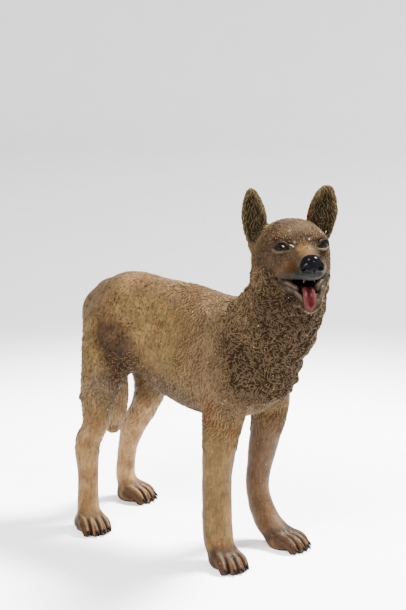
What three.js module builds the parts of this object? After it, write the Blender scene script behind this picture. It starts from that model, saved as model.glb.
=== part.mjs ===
// A standing dog, modelled by hand in one piece and painted: head turned to its right, mouth open with the tongue
// out, upright ears, a woolly ruff round neck and chest, smooth flanks, and a bushy tail that hangs between the hocks.
// Millimetres, +Z up. The dog faces -Y and its own left side is +X. The origin is on the floor under the middle.
// The whole body is one smooth field of distances, negative inside, and the solid is that field's zero surface.
import * as THREE from "three";

const vec = (x, y, z) => new THREE.Vector3(x, y, z);
const turnOf = THREE.MathUtils.degToRad;
const mix = THREE.MathUtils.lerp;
const clamp = THREE.MathUtils.clamp;

// Driving dimensions. Where the floor's origin lies in the modelling frame, how finely the field is walked, how many
// triangles are left in the end, and how much more they count on the head.
const MIDDLE = vec(-2.3, -17.1, 0);
const STEP = 1.4;
const MOST_TRIANGLES = 9800;
const HEAD_WEIGHT = 5;

// Limbs are rows of x, y, z, half-width across the dog, half-depth along the other way.
const TORSO = [
  [0, 57, 115, 11, 13],
  [0, 48, 115.6, 16.5, 20.5],
  [0, 35, 115.6, 19.5, 25.5],
  [0, 18, 112.5, 19, 28.5],
  [0, 0, 108.5, 21.5, 32],
  [0, -20, 105.5, 23, 32.5],
  [0, -38, 106.5, 23, 30.5],
  [0, -52, 109.5, 19.5, 24],
];
const NECK = [
  [0, -41, 113, 21, 23],
  [0, -55.5, 124, 21.5, 23],
  [-1, -64.5, 137, 20.6, 20.8],
  [-2.8, -70, 150, 19.3, 18.8],
  [-4, -71.3, 166, 17.6, 17.5],
];
const TAIL = [
  [0, 52, 126, 7, 8],
  [0.5, 58, 112, 9, 9],
  [1.5, 57.5, 96, 10, 10],
  [1.8, 55.5, 80, 10.3, 10],
  [1.8, 53.5, 67, 10, 9],
  [1.5, 52.5, 57, 8, 7],
  [1.5, 52, 51, 4.5, 4.5],
];
// The crease in front of the right thigh. The left side has the same one.
const FLANK = [
  [-26, 35.5, 122, 2.5, 3],
  [-27.5, 29, 112, 3.5, 3.5],
  [-27, 23.5, 103, 4, 4],
  [-25, 20, 93, 3.5, 3.5],
];
const LEGS = {
  right_hind: [
    [-12, 38, 112, 13, 20],
    [-19, 38.7, 92, 11.5, 13.8],
    [-21.5, 42, 75, 9, 10],
    [-23.5, 42.5, 60, 7, 7],
    [-24.5, 47.5, 47, 6, 7.3],
    [-25, 47, 30, 5.2, 5.8],
    [-25.3, 47, 14, 5.6, 6],
    [-26, 45, 7, 6, 6.5],
  ],
  left_hind: [
    [12, 40.5, 112, 13, 18.5],
    [18.5, 39.5, 92, 11, 14],
    [20.5, 40.5, 73, 9, 10],
    [21.5, 46.5, 58, 7, 7.5],
    [22, 55.3, 44, 6, 7],
    [22.3, 60, 30, 5.2, 5.6],
    [22.7, 62, 14, 5.4, 5.6],
    [23, 59, 7, 6, 6.5],
  ],
  right_fore: [
    [-14, -38, 104, 9, 15],
    [-17.5, -41, 85, 9.5, 12.5],
    [-19, -40, 70, 8.5, 10],
    [-20, -38.5, 50, 7.4, 8],
    [-20, -38.5, 30, 7.4, 7.8],
    [-20.5, -40, 14, 7.5, 8],
    [-21, -43, 7, 7, 7],
  ],
  left_fore: [
    [14, -40, 104, 9, 15],
    [17, -43, 85, 9.5, 12],
    [18.5, -42, 70, 8.3, 9.5],
    [19, -37.5, 50, 7, 7.4],
    [19, -35, 30, 6.2, 6.5],
    [19.3, -40.5, 14, 6.5, 7.2],
    [19.5, -48, 7, 7, 7],
  ],
};
// Each paw's middle on the floor, and how far it points outwards, in degrees
const PAWS = {
  right_hind: { x: -27.2, y: 43.6, turn: 20 },
  left_hind: { x: 23.6, y: 55.8, turn: -10 },
  right_fore: { x: -22, y: -46.5, turn: 20 },
  left_fore: { x: 19.6, y: -54.5, turn: -6 },
};
const PAW = { length: 23, width: 17, height: 10 };

// The head's frame, and each ear's place across the skull, half-width, and how its hollow is turned outwards and its
// tip leans outwards, in degrees
const HEAD = { centre: vec(-3.5, -74.1, 175.2), turn: 38, pitch: -2, roll: -1, reach: 45 };
const EARS = [
  { side: -1, across: -17.3, half: 6.1, outwards: 22, lean: 5.5 },
  { side: 1, across: 14.6, half: 7.3, outwards: -8, lean: 11 },
];
// Each eye's middle on the face, and how far it looks aside, in degrees
const EYE = { place: [10.45, 14.1, -0.1], aside: 36 };

// The lumps that the ruff's curls gather into, and where on the body they fade out
const LUMP = { size: 6.2, depth: 0.75 };
const RUFF = { middle: vec(0, -62, 128), reach: vec(40, 34, 46) };

// Joins two distances with a fillet about `soft` wide
function join(a, b, soft) {
  const near = Math.max(soft - Math.abs(a - b), 0) / soft;
  return Math.min(a, b) - (near * near * soft) / 4;
}

// Cuts b out of a, with the edge rounded
const carve = (a, b, soft) => -join(-a, b, soft);

// Distance from an ellipsoid's surface, for a point at u, v, w from its middle and half-axes a, b, c
function fromEllipsoid(u, v, w, a, b, c) {
  const reach = Math.hypot(u / a, v / b, w / c);
  const slope = Math.hypot(u / (a * a), v / (b * b), w / (c * c));
  return slope < 1e-9 ? -Math.min(a, b, c) : (reach * (reach - 1)) / slope;
}

// A part that is worked out in full only near its own bounding ball
const bounded = (part, middle, reach) => (p) => {
  const gap = p.distanceTo(middle) - reach;
  return gap > 14 ? gap : part(p);
};

// A frame: an origin, and directions to the animal's own left, forwards and up
function frame(origin, turn, pitch = 0, roll = 0) {
  const rotation = new THREE.Matrix4()
    .makeRotationZ(-turnOf(turn))
    .multiply(new THREE.Matrix4().makeRotationX(-turnOf(pitch)))
    .multiply(new THREE.Matrix4().makeRotationY(turnOf(roll)));
  const left = vec(), back = vec(), up = vec();
  rotation.extractBasis(left, back, up);
  const fore = back.clone().negate();
  const at = (l, f, u) => origin.clone().addScaledVector(left, l).addScaledVector(fore, f).addScaledVector(up, u);
  return { origin, left, fore, up, at };
}

// An ellipsoid in a frame: its middle at l, f, u, and its half-axes along left, fore and up
function ball(where, [l, f, u], [a, b, c]) {
  const middle = where.at(l, f, u);
  const { left, fore, up } = where;
  return (p) => {
    const x = p.x - middle.x, y = p.y - middle.y, z = p.z - middle.z;
    return fromEllipsoid(
      x * left.x + y * left.y + z * left.z,
      x * fore.x + y * fore.y + z * fore.z,
      x * up.x + y * up.y + z * up.z,
      a, b, c,
    );
  };
}

// More rows of numbers between the given ones, on a Catmull-Rom curve
function refine(rows, steps) {
  const last = rows.length - 1;
  const fine = rows.slice(0, last).flatMap((row, i) =>
    Array.from({ length: steps }, (_, s) =>
      row.map((value, k) => {
        const t = s / steps;
        const before = rows[Math.max(0, i - 1)][k];
        const next = rows[i + 1][k];
        const after = rows[Math.min(last, i + 2)][k];
        const bend = 2 * before - 5 * value + 4 * next - after;
        const twist = 3 * (value - next) + after - before;
        return value + (t * (next - before + t * (bend + t * twist))) / 2;
      }),
    ),
  );
  return [...fine, rows[last]];
}

// A limb with an elliptical section that follows rows of x, y, z, half-width along `side` and half-depth across it.
// Each place is measured from the nearest stretch of the limb's middle line.
function limb(rows, side, steps = 4) {
  const fine = refine(rows, steps);
  const spans = fine.slice(1).map((end, i) => {
    const start = fine[i];
    const from = vec(...start), along = vec(...end).sub(from);
    const length = along.length();
    const ahead = along.clone().divideScalar(length);
    const deep = ahead.clone().cross(side).normalize();
    const wide = deep.clone().cross(ahead);
    return { from, ahead, length, wide, deep, start, end };
  });
  const whole = (p) => {
    let nearest = Infinity, value = 0;
    for (const { from, ahead, length, wide, deep, start, end } of spans) {
      const x = p.x - from.x, y = p.y - from.y, z = p.z - from.z;
      const run = x * ahead.x + y * ahead.y + z * ahead.z;
      const share = clamp(run / length, 0, 1);
      const past = run - share * length;
      const gap = x * x + y * y + z * z - run * run + past * past;
      if (gap >= nearest) continue;
      nearest = gap;
      const a = mix(start[3], end[3], share);
      const b = mix(start[4], end[4], share);
      const u = x * wide.x + y * wide.y + z * wide.z;
      const v = x * deep.x + y * deep.y + z * deep.z;
      value = fromEllipsoid(u, v, past, a, b, Math.min(a, b));
    }
    return value;
  };
  const middle = vec(...rows[0]).add(vec(...rows[rows.length - 1])).divideScalar(2);
  const reach = Math.max(...fine.map((row) => vec(...row).distanceTo(middle) + Math.max(row[3], row[4])));
  return bounded(whole, middle, reach);
}

const LEFT = vec(1, 0, 0);

// A paw: a pad under the ankle and four toes with a cleft between each two
function paw({ x, y, turn }) {
  const foot = frame(vec(x, y, 0), turn);
  const { length, width, height } = PAW;
  const pad = ball(foot, [0, -length * 0.11, height * 0.36], [width * 0.45, length * 0.37, height * 0.6]);
  const toes = [-1.5, -0.5, 0.5, 1.5].map((n) => {
    const reach = length * (Math.abs(n) > 1 ? 0.33 : 0.43);
    const thick = width * 0.145;
    const row = (l, f, u, share) => [...foot.at(l, f, u).toArray(), thick * share, thick * share * 1.2];
    return limb([
      row(n * width * 0.2, -length * 0.04, height * 0.66, 1),
      row(n * width * 0.24, reach * 0.6, height * 0.5, 1),
      row(n * width * 0.25, reach, height * 0.18, 0.86),
    ], foot.left, 2);
  });
  const whole = (p) => {
    const all = toes.reduce((d, toe) => Math.min(d, toe(p)), Infinity);
    return join(pad(p), all, 1.5);
  };
  return bounded(whole, foot.at(0, 0, height / 2), length * 0.75);
}

// An ear: a leaf that stands on the skull, with its front hollowed out
function ear(face, { side, across, half, outwards, lean }) {
  const root = face.at(across, -9, -1.3);
  const cup = frame(root, HEAD.turn - side * outwards, HEAD.pitch, HEAD.roll + side * lean);
  const row = (u, f, a, b) => [...cup.at(0, f, u).toArray(), a * half, b];
  const leaf = [row(-10, 1, 0.4, 2.6), row(-3, 0.4, 0.68, 3.4), row(5, 0, 0.95, 3.7), row(12, -0.4, 1, 3.3),
    row(18, -0.8, 0.76, 2.6), row(21.5, -1, 0.52, 2), row(24.4, -1, 0.28, 1.3), row(25.8, -1, 0.06, 0.4)];
  const hollow = [row(-5, 4, 0.3, 1.8), row(2, 3.8, 0.58, 2.8), row(10, 2.8, 0.68, 2.7), row(17, 1.5, 0.45, 1.9),
    row(20.5, 0.8, 0.2, 1.1)];
  const outer = limb(leaf, cup.left), inner = limb(hollow, cup.left);
  return (p) => carve(outer(p), inner(p), 1.8);
}

// An eye: a socket and the ball in it, in a frame that looks outwards from the face
function eye(face, side) {
  const [l, f, u] = EYE.place;
  const where = frame(face.at(side * l, f, u), HEAD.turn - side * EYE.aside, HEAD.pitch, HEAD.roll);
  return { socket: ball(where, [side * 0.4, 0.7, 0.2], [5.1, 2.6, 2.9]),
    eyeball: ball(where, [side * 0.3, -2, 0.1], [4.5, 2.3, 3]) };
}

// The head: its form, and the features that are cut into it and laid on it once it is joined to the neck
function head() {
  const face = frame(HEAD.centre, HEAD.turn, HEAD.pitch, HEAD.roll);
  const pair = (at, size) => [-1, 1].map((side) => ball(face, [side * at[0], at[1], at[2]], size));
  const row = (f, u, a, b) => [...face.at(0, f, u).toArray(), a, b];
  const skull = ball(face, [0, -4, -5.6], [16.2, 16.5, 12.2]);
  const forehead = ball(face, [0, 5, -4.6], [12.6, 11, 10]);
  const cheeks = pair([8.6, -4, -15], [8.2, 12.5, 10.5]);
  const brows = pair([7.2, 10.6, 2.6], [5.4, 3.4, 2.2]);
  const bridge = limb([row(7, -4, 8, 6), row(15, -4.9, 6.6, 5.5), row(22, -5.4, 5.8, 4.8), row(28.5, -5.4, 5.2, 4)],
    face.left);
  const lips = limb([row(4, -12.5, 13.2, 6), row(13, -12.6, 12, 4.8), row(20, -11.5, 9.8, 3.6),
    row(27.8, -10.4, 6.4, 2.9)], face.left);
  const jaw = limb([row(2, -20, 13, 7), row(12, -22, 11, 5), row(19, -24.2, 8.2, 4), row(23.6, -25.8, 5.2, 3)],
    face.left);
  const mouth = limb([row(12, -17, 12.8, 0.8), row(18, -17.4, 10.6, 2.1), row(24, -18.4, 7.6, 4),
    row(33, -20, 8, 6.4)], face.left);
  const eyes = [-1, 1].map((side) => eye(face, side));
  const lobes = [ball(face, [0, 29.8, -2.8], [4.4, 3.3, 2.7]), ball(face, [0, 31.2, -5.4], [3.4, 3.1, 3.4]),
    ...pair([3.4, 30.6, -5.9], [2.7, 2.9, 2.6])];
  const lowerLip = limb([
    [-12.2, 15, -15.6, 0.7], [-10.2, 17.2, -17.9, 0.9], [-7.6, 20, -20.3, 1.1], [-5.2, 23, -22.9, 1.2],
    [-3.9, 25.5, -25.6, 1.2], [-0.3, 26.6, -27.6, 1.2], [3.3, 26, -26.6, 1], [5.8, 24, -24.3, 0.9],
    [8, 20.5, -20.2, 0.8], [10.4, 17.2, -17.9, 0.8], [12.2, 15, -15.6, 0.7],
  ].map(([l, f, u, r]) => [...face.at(l, f, u).toArray(), r, r]), face.fore);
  const tongue = limb([row(14, -19.6, 4.5, 1.6), row(20, -19, 4, 1.8), row(24.5, -19.5, 3.8, 1.8),
    row(27, -22.2, 3.8, 1.6), row(27.8, -25, 3.3, 1.4), row(27.7, -27.3, 2.1, 1.2)], face.left);
  const ears = EARS.map((shape) => ear(face, shape));
  const joined = (d, p, parts, soft) => parts.reduce((sum, part) => join(sum, part(p), soft), d);
  const form = (p) => {
    let d = join(skull(p), forehead(p), 5);
    d = joined(d, p, cheeks, 6);
    d = joined(d, p, brows, 4);
    d = joined(d, p, [bridge], 4);
    d = joined(d, p, [lips], 2.5);
    return joined(d, p, [jaw], 3);
  };
  const features = (start, p) => {
    let d = carve(start, mouth(p), 0.8);
    for (const { socket, eyeball } of eyes) d = join(carve(d, socket(p), 0.8), eyeball(p), 0.1);
    d = joined(d, p, lobes, 1.2);
    d = join(d, lowerLip(p), 1.2);
    d = join(d, tongue(p), 0.3);
    return joined(d, p, ears, 2.5);
  };
  return { form: bounded(form, HEAD.centre, HEAD.reach), features };
}

// How much a place belongs to the ruff: 1 on the breast and throat, 0 beyond its edge
function inRuff(p) {
  const { middle, reach } = RUFF;
  const away = Math.hypot((p.x - middle.x) / reach.x, (p.y - middle.y) / reach.y, (p.z - middle.z) / reach.z);
  return THREE.MathUtils.smoothstep(1.1 - away, 0, 0.25);
}

// The height of the ruff's lumps at a place, between -1 and 1
function lumps({ x, y, z }) {
  const turn = (2 * Math.PI) / LUMP.size;
  const u = x * 0.62 * turn + 1.3 * Math.sin(z * 0.21 + y * 0.13);
  const v = (y * 0.55 + z * 0.3) * turn + 1.1 * Math.sin(x * 0.27 + z * 0.17);
  const w = (z * 0.52 - y * 0.28) * turn + 1.2 * Math.sin(y * 0.23 - x * 0.19);
  return (Math.sin(u) * Math.cos(v) + Math.sin(v) * Math.cos(w) + Math.sin(w) * Math.cos(u)) / 1.5;
}

const mirrored = (rows) => rows.map(([x, ...rest]) => [-x, ...rest]);
const trunk = [limb(TORSO, LEFT), limb(NECK, LEFT)];
const tail = limb(TAIL, LEFT);
const creases = [limb(FLANK, LEFT), limb(mirrored(FLANK), LEFT)];
const legs = Object.values(LEGS).map((rows) => limb(rows, LEFT));
const paws = Object.values(PAWS).map(paw);
const face = head();

function dog(p) {
  let d = join(trunk[0](p), trunk[1](p), 3.5);
  for (const leg of legs) d = join(d, leg(p), 6.5);
  for (const crease of creases) d = carve(d, crease(p), 4);
  d = join(d, tail(p), 5);
  const share = Math.abs(d) < 6 ? inRuff(p) : 0;
  if (share > 0) d -= share * LUMP.depth * lumps(p);
  d = join(d, face.form(p), 7);
  if (p.distanceTo(HEAD.centre) < HEAD.reach) d = face.features(d, p);
  for (const foot of paws) d = join(d, foot(p), 3);
  return Math.max(d, -p.z);
}

// The zero surface of a field inside a box, as one vertex for each grid cell that it crosses
function surface(field, low, high, step) {
  const block = 4;
  const count = high.clone().sub(low).divideScalar(step * block).ceil().multiplyScalar(block);
  const [nx, ny, nz] = count.clone().addScalar(1).toArray();
  const index = (i, j, k) => i + nx * (j + ny * k);
  const place = (i, j, k) => vec(i, j, k).multiplyScalar(step).add(low);
  const value = new Float64Array(nx * ny * nz).fill(NaN);
  // Blocks of cells that lie well away from the surface take their middle's value
  const far = step * block * 1.6;
  for (let k = 0; k < nz; k += block)
    for (let j = 0; j < ny; j += block)
      for (let i = 0; i < nx; i += block) {
        const middle = field(place(i + block / 2, j + block / 2, k + block / 2));
        for (let c = k; c < Math.min(k + block, nz); c++)
          for (let b = j; b < Math.min(j + block, ny); b++)
            for (let a = i; a < Math.min(i + block, nx); a++)
              value[index(a, b, c)] = Math.abs(middle) > far ? middle : field(place(a, b, c));
      }
  const corners = [];
  for (let n = 0; n < 8; n++) corners.push([n & 1, (n >> 1) & 1, n >> 2]);
  const edges = [];
  for (let a = 0; a < 8; a++)
    for (const bit of [1, 2, 4]) if (!(a & bit)) edges.push([a, a | bit]);
  const jumps = corners.map(([a, b, c]) => index(a, b, c));
  // A cell whose inside or outside corners fall into two groups would pinch the surface, so it is filled
  const connected = (inside, wanted) => {
    const group = corners.map((_, n) => n);
    const find = (n) => (group[n] === n ? n : find(group[n]));
    for (const [a, b] of edges) if (inside[a] === wanted && inside[b] === wanted) group[find(a)] = find(b);
    return new Set(corners.map((_, n) => n).filter((n) => inside[n] === wanted).map(find)).size < 2;
  };
  for (let changed = true; changed; ) {
    changed = false;
    for (let k = 0; k < nz - 1; k++)
      for (let j = 0; j < ny - 1; j++)
        for (let i = 0; i < nx - 1; i++) {
          const ids = jumps.map((jump) => index(i, j, k) + jump);
          const inside = ids.map((n) => value[n] < 0);
          const held = inside.filter(Boolean).length;
          if (held === 0 || held === 8) continue;
          if (connected(inside, true) && connected(inside, false)) continue;
          const nearest = ids.filter((n) => value[n] >= 0).sort((a, b) => value[a] - value[b])[0];
          value[nearest] = -step / 50;
          changed = true;
        }
  }
  const vertexOf = new Map();
  const points = [];
  const vertex = (i, j, k) => {
    const id = index(i, j, k);
    if (!vertexOf.has(id)) {
      const sum = vec(0, 0, 0);
      let crossings = 0;
      for (const [a, b] of edges) {
        const start = value[id + jumps[a]], end = value[id + jumps[b]];
        if (start < 0 === end < 0) continue;
        sum.add(vec(...corners[a]).lerp(vec(...corners[b]), start / (start - end)));
        crossings++;
      }
      vertexOf.set(id, points.length);
      points.push(sum.multiplyScalar(step / crossings).add(place(i, j, k)));
    }
    return vertexOf.get(id);
  };
  const faces = [];
  const quad = (a, b, c, d, flip) => {
    const [p, q, r, s] = flip ? [a, d, c, b] : [a, b, c, d];
    const short = points[p].distanceTo(points[r]) < points[q].distanceTo(points[s]);
    faces.push(...(short ? [[p, q, r], [p, r, s]] : [[q, r, s], [q, s, p]]));
  };
  for (let k = 1; k < nz - 1; k++)
    for (let j = 1; j < ny - 1; j++)
      for (let i = 1; i < nx - 1; i++) {
        const here = value[index(i, j, k)] < 0;
        if (here !== value[index(i + 1, j, k)] < 0)
          quad(vertex(i, j - 1, k - 1), vertex(i, j, k - 1), vertex(i, j, k), vertex(i, j - 1, k), !here);
        if (here !== value[index(i, j + 1, k)] < 0)
          quad(vertex(i - 1, j, k - 1), vertex(i - 1, j, k), vertex(i, j, k), vertex(i, j, k - 1), !here);
        if (here !== value[index(i, j, k + 1)] < 0)
          quad(vertex(i - 1, j - 1, k), vertex(i, j - 1, k), vertex(i, j, k), vertex(i - 1, j, k), !here);
      }
  return { points, faces };
}

// Moves each vertex onto the surface along the field's slope
function settle(points, field, most) {
  const nudge = 0.05;
  for (const p of points)
    for (let pass = 0; pass < 2; pass++) {
      const d = field(p);
      const slope = vec(
        field(vec(p.x + nudge, p.y, p.z)) - d,
        field(vec(p.x, p.y + nudge, p.z)) - d,
        field(vec(p.x, p.y, p.z + nudge)) - d,
      ).divideScalar(nudge);
      const steep = slope.lengthSq();
      if (steep > 0.05) p.addScaledVector(slope, -clamp(d / steep, -most, most));
    }
}

// The sum of squared distances from planes, as the ten numbers of a symmetric matrix
const SQUARES = [[0, 0], [0, 1], [0, 2], [0, 3], [1, 1], [1, 2], [1, 3], [2, 2], [2, 3], [3, 3]];
const addPlane = (sum, plane, weight) => SQUARES.forEach(([a, b], n) => (sum[n] += weight * plane[a] * plane[b]));
function planeCost(q, { x, y, z }) {
  return q[0] * x * x + 2 * q[1] * x * y + 2 * q[2] * x * z + 2 * q[3] * x + q[4] * y * y + 2 * q[5] * y * z
    + 2 * q[6] * y + q[7] * z * z + 2 * q[8] * z + q[9];
}

// Merges the edges that change the surface least until only `most` triangles are left. Soles stay on the floor.
function simplify(points, faces, most) {
  const around = points.map(() => new Set());
  faces.forEach((face, n) => face.forEach((v) => around[v].add(n)));
  const cross = (a, b, c) => b.clone().sub(a).cross(c.clone().sub(a));
  const sums = points.map(() => new Float64Array(10));
  for (const face of faces) {
    const [a, b, c] = face.map((v) => points[v]);
    const area = cross(a, b, c);
    const normal = area.clone().normalize();
    const plane = [normal.x, normal.y, normal.z, -normal.dot(a)];
    const weight = a.distanceTo(HEAD.centre) < 42 ? HEAD_WEIGHT : 1;
    for (const v of face) addPlane(sums[v], plane, area.length() * weight);
  }
  // A little pull towards each vertex's first place keeps flat parts evenly divided
  points.forEach((p, v) => {
    [[1, 0, 0, -p.x], [0, 1, 0, -p.y], [0, 0, 1, -p.z]].forEach((plane) => addPlane(sums[v], plane, 0.004));
  });
  const neighbours = (v) => new Set([...around[v]].flatMap((n) => faces[n]).filter((u) => u !== v));
  const best = (u, v) => {
    const q = sums[u].map((value, n) => value + sums[v][n]);
    const grounded = [u, v].filter((n) => points[n].z === 0);
    const matrix = new THREE.Matrix3().set(q[0], q[1], q[2], q[1], q[4], q[5], q[2], q[5], q[7]);
    const halfway = points[u].clone().lerp(points[v], 0.5);
    let place = halfway;
    if (Math.abs(matrix.determinant()) > 1e-9) {
      const exact = vec(-q[3], -q[6], -q[8]).applyMatrix3(matrix.invert());
      if (exact.distanceTo(halfway) < points[u].distanceTo(points[v]) * 1.5) place = exact;
    }
    if (grounded.length === 2) place.z = 0;
    if (grounded.length === 1) place = points[grounded[0]].clone();
    return { place, sum: q, cost: Math.max(planeCost(q, place), 0) };
  };
  const age = new Uint32Array(points.length);
  const heap = [];
  const above = (n) => (n - 1) >> 1;
  const push = (item) => {
    let n = heap.push(item) - 1;
    for (; n > 0 && heap[above(n)].cost > item.cost; n = above(n)) heap[n] = heap[above(n)];
    heap[n] = item;
  };
  const pop = () => {
    const top = heap[0];
    const item = heap.pop();
    if (heap.length === 0) return top;
    let n = 0;
    for (let child = 1; child < heap.length; child = 2 * n + 1) {
      if (child + 1 < heap.length && heap[child + 1].cost < heap[child].cost) child++;
      if (heap[child].cost >= item.cost) break;
      heap[n] = heap[child];
      n = child;
    }
    heap[n] = item;
    return top;
  };
  const offer = (u, v) => push({ u, v, ages: age[u] + age[v], ...best(u, v) });
  points.forEach((_, u) => neighbours(u).forEach((v) => u < v && offer(u, v)));
  // A merge is refused when it would fold a triangle over or join parts of the surface that only touch
  const allowed = (u, v, place) => {
    const shared = [...neighbours(u)].filter((n) => neighbours(v).has(n));
    if (shared.length !== 2) return false;
    for (const n of new Set([...around[u], ...around[v]])) {
      const face = faces[n];
      if (face.includes(u) && face.includes(v)) continue;
      const before = cross(...face.map((w) => points[w]));
      const after = cross(...face.map((w) => (w === u || w === v ? place : points[w])));
      if (after.dot(before) < 0.35 * after.length() * before.length() || after.length() < 0.02) return false;
    }
    return true;
  };
  let left = faces.length;
  while (left > most && heap.length) {
    const { u, v, ages, place, sum } = pop();
    if (!around[u] || !around[v] || ages !== age[u] + age[v]) continue;
    if (!allowed(u, v, place)) continue;
    for (const n of [...around[v]]) {
      if (faces[n].includes(u)) {
        faces[n].forEach((w) => around[w].delete(n));
        faces[n] = null;
        left--;
      } else {
        faces[n] = faces[n].map((w) => (w === v ? u : w));
        around[u].add(n);
      }
    }
    around[v] = null;
    points[u].copy(place);
    sums[u] = sum;
    const ring = neighbours(u);
    age[u] += 1 + Math.max(0, ...[...ring].map((w) => age[w]));
    ring.forEach((w) => offer(u, w));
  }
  const kept = new Map();
  const index = faces.filter(Boolean).flat().map((v) => {
    if (!kept.has(v)) kept.set(v, kept.size);
    return kept.get(v);
  });
  return { points: [...kept.keys()].map((v) => points[v]), index };
}

const rough = surface(dog, vec(-60, -130, -6), vec(60, 95, 225), STEP);
settle(rough.points, dog, STEP / 3);
for (const p of rough.points) if (p.z < 0.4) p.z = 0;
const { points, index } = simplify(rough.points, rough.faces, MOST_TRIANGLES);
const geometry = new THREE.BufferGeometry().setFromPoints(points).setIndex(index);
geometry.computeVertexNormals();
const mesh = new THREE.Mesh(geometry, new THREE.MeshStandardMaterial({ color: 0x8f6f48, roughness: 0.45 }));
mesh.name = "dog";
mesh.position.copy(MIDDLE).negate();

const group = new THREE.Group();
group.add(mesh);
export default group;
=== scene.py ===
"""A standing dog, modelled by hand in clay, painted and varnished: head turned to its right, open mouth with
the tongue out, upright ears, a curly ruff, strokes of fur on the shoulders, smooth legs and a bushy tail.

The body is one smooth field of distances, negative inside, in millimetres: +Z up, the dog faces -Y and its
own left is +X. Its zero surface becomes the skin. Curls and strokes of fur are small strands that lie on it.
"""

import math
from collections import namedtuple

import bpy
import numpy as np
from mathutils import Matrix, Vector


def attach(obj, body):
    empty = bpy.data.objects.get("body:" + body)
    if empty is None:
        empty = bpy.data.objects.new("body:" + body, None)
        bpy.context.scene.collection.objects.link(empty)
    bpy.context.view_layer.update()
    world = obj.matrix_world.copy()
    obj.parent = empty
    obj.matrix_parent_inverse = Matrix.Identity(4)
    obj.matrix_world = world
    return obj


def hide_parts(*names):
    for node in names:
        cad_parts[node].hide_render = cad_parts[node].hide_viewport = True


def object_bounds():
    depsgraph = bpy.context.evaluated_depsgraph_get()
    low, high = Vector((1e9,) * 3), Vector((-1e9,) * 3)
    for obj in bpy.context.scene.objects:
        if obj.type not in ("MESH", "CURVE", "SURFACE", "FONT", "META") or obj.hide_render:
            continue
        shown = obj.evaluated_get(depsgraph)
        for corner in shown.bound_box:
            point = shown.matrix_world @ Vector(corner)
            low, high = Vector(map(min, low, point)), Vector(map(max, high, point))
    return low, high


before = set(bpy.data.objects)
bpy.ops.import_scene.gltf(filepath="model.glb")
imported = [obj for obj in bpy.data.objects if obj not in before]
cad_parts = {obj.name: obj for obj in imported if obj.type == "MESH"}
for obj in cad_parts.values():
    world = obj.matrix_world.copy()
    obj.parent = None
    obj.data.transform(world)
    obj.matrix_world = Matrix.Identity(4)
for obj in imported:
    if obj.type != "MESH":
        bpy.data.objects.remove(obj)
CAD_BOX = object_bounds()

MM = 0.001
# The row frame's origin in the modelling frame
MIDDLE = np.array([-2.3, -17.1, 0.0])
# The skin's grid step, its most triangles, and the corners of the box that it is looked for in
STEP = 0.48
MOST_TRIANGLES = 190_000
SKIN_BOX = np.array([-40.0, -106, -3]), np.array([36.0, 72, 202])
LEFT = np.array([1.0, 0.0, 0.0])
SIDES = (-1, 1)

# Limbs are rows of x, y, z, half-width across the dog, half-depth along the other way.
TORSO = [
    (0, 57, 115, 11, 13), (0, 48, 115.6, 16.5, 20.5), (0, 35, 115.6, 19.5, 25.5), (0, 18, 112.5, 19, 28.5),
    (0, 0, 108.5, 21.5, 32), (0, -20, 105.5, 23, 32.5), (0, -38, 106.5, 23, 30.5), (0, -52, 109.5, 19.5, 24),
]
NECK = [
    (0, -41, 113, 21, 23), (0, -55.5, 124, 21.5, 23), (-1, -64.5, 137, 20.6, 20.8),
    (-2.8, -70, 150, 19.3, 18.8), (-4, -71.3, 166, 17.6, 17.5),
]
TAIL = [
    (0, 52, 126, 7, 8), (0.5, 58, 112, 9, 9), (1.5, 57.5, 96, 10, 10), (1.8, 55.5, 80, 10.3, 10),
    (1.8, 53.5, 67, 10, 9), (1.5, 52.5, 57, 8, 7), (1.5, 52, 51, 4.5, 4.5),
]
FLANK = [
    (-26, 35.5, 122, 2.5, 3), (-27.5, 29, 112, 3.5, 3.5), (-27, 23.5, 103, 4, 4), (-25, 20, 93, 3.5, 3.5),
]
LEGS = {
    "right_hind": [
        (-12, 38, 112, 13, 20), (-19, 38.7, 92, 11.5, 13.8), (-21.5, 42, 75, 9, 10), (-23.5, 42.5, 60, 7, 7),
        (-24.5, 47.5, 47, 6, 7.3), (-25, 47, 30, 5.2, 5.8), (-25.3, 47, 14, 5.6, 6), (-26, 45, 7, 6, 6.5),
    ],
    "left_hind": [
        (12, 40.5, 112, 13, 18.5), (18.5, 39.5, 92, 11, 14), (20.5, 40.5, 73, 9, 10),
        (21.5, 46.5, 58, 7, 7.5), (22, 55.3, 44, 6, 7), (22.3, 60, 30, 5.2, 5.6),
        (22.7, 62, 14, 5.4, 5.6), (23, 59, 7, 6, 6.5),
    ],
    "right_fore": [
        (-14, -38, 104, 9, 15), (-17.5, -41, 85, 9.5, 12.5), (-19, -40, 70, 8.5, 10),
        (-20, -38.5, 50, 7.4, 8), (-20, -38.5, 30, 7.4, 7.8), (-20.5, -40, 14, 7.5, 8), (-21, -43, 7, 7, 7),
    ],
    "left_fore": [
        (14, -40, 104, 9, 15), (17, -43, 85, 9.5, 12), (18.5, -42, 70, 8.3, 9.5), (19, -37.5, 50, 7, 7.4),
        (19, -35, 30, 6.2, 6.5), (19.3, -40.5, 14, 6.5, 7.2), (19.5, -48, 7, 7, 7),
    ],
}
# Each paw's middle on the floor, and how far it points outwards, in degrees
PAWS = [(-27.2, 43.6, 20), (23.6, 55.8, -10), (-22, -46.5, 20), (19.6, -54.5, -6)]
PAW_LENGTH, PAW_WIDTH, PAW_HEIGHT = 23, 17, 10
# Each claw's run beyond its toe's end, height over the floor and thickness
CLAW = [(0.4, 3.0, 0.95), (2.4, 2.5, 0.8), (3.4, 1.3, 0.35)]
# The head's middle, and how far it turns aside, nods and rolls, in degrees
HEAD_MIDDLE = np.array([-3.5, -74.1, 175.2])
HEAD_TURN, HEAD_PITCH, HEAD_ROLL = 38, -2, -1
FACE_REACH = 45
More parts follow.
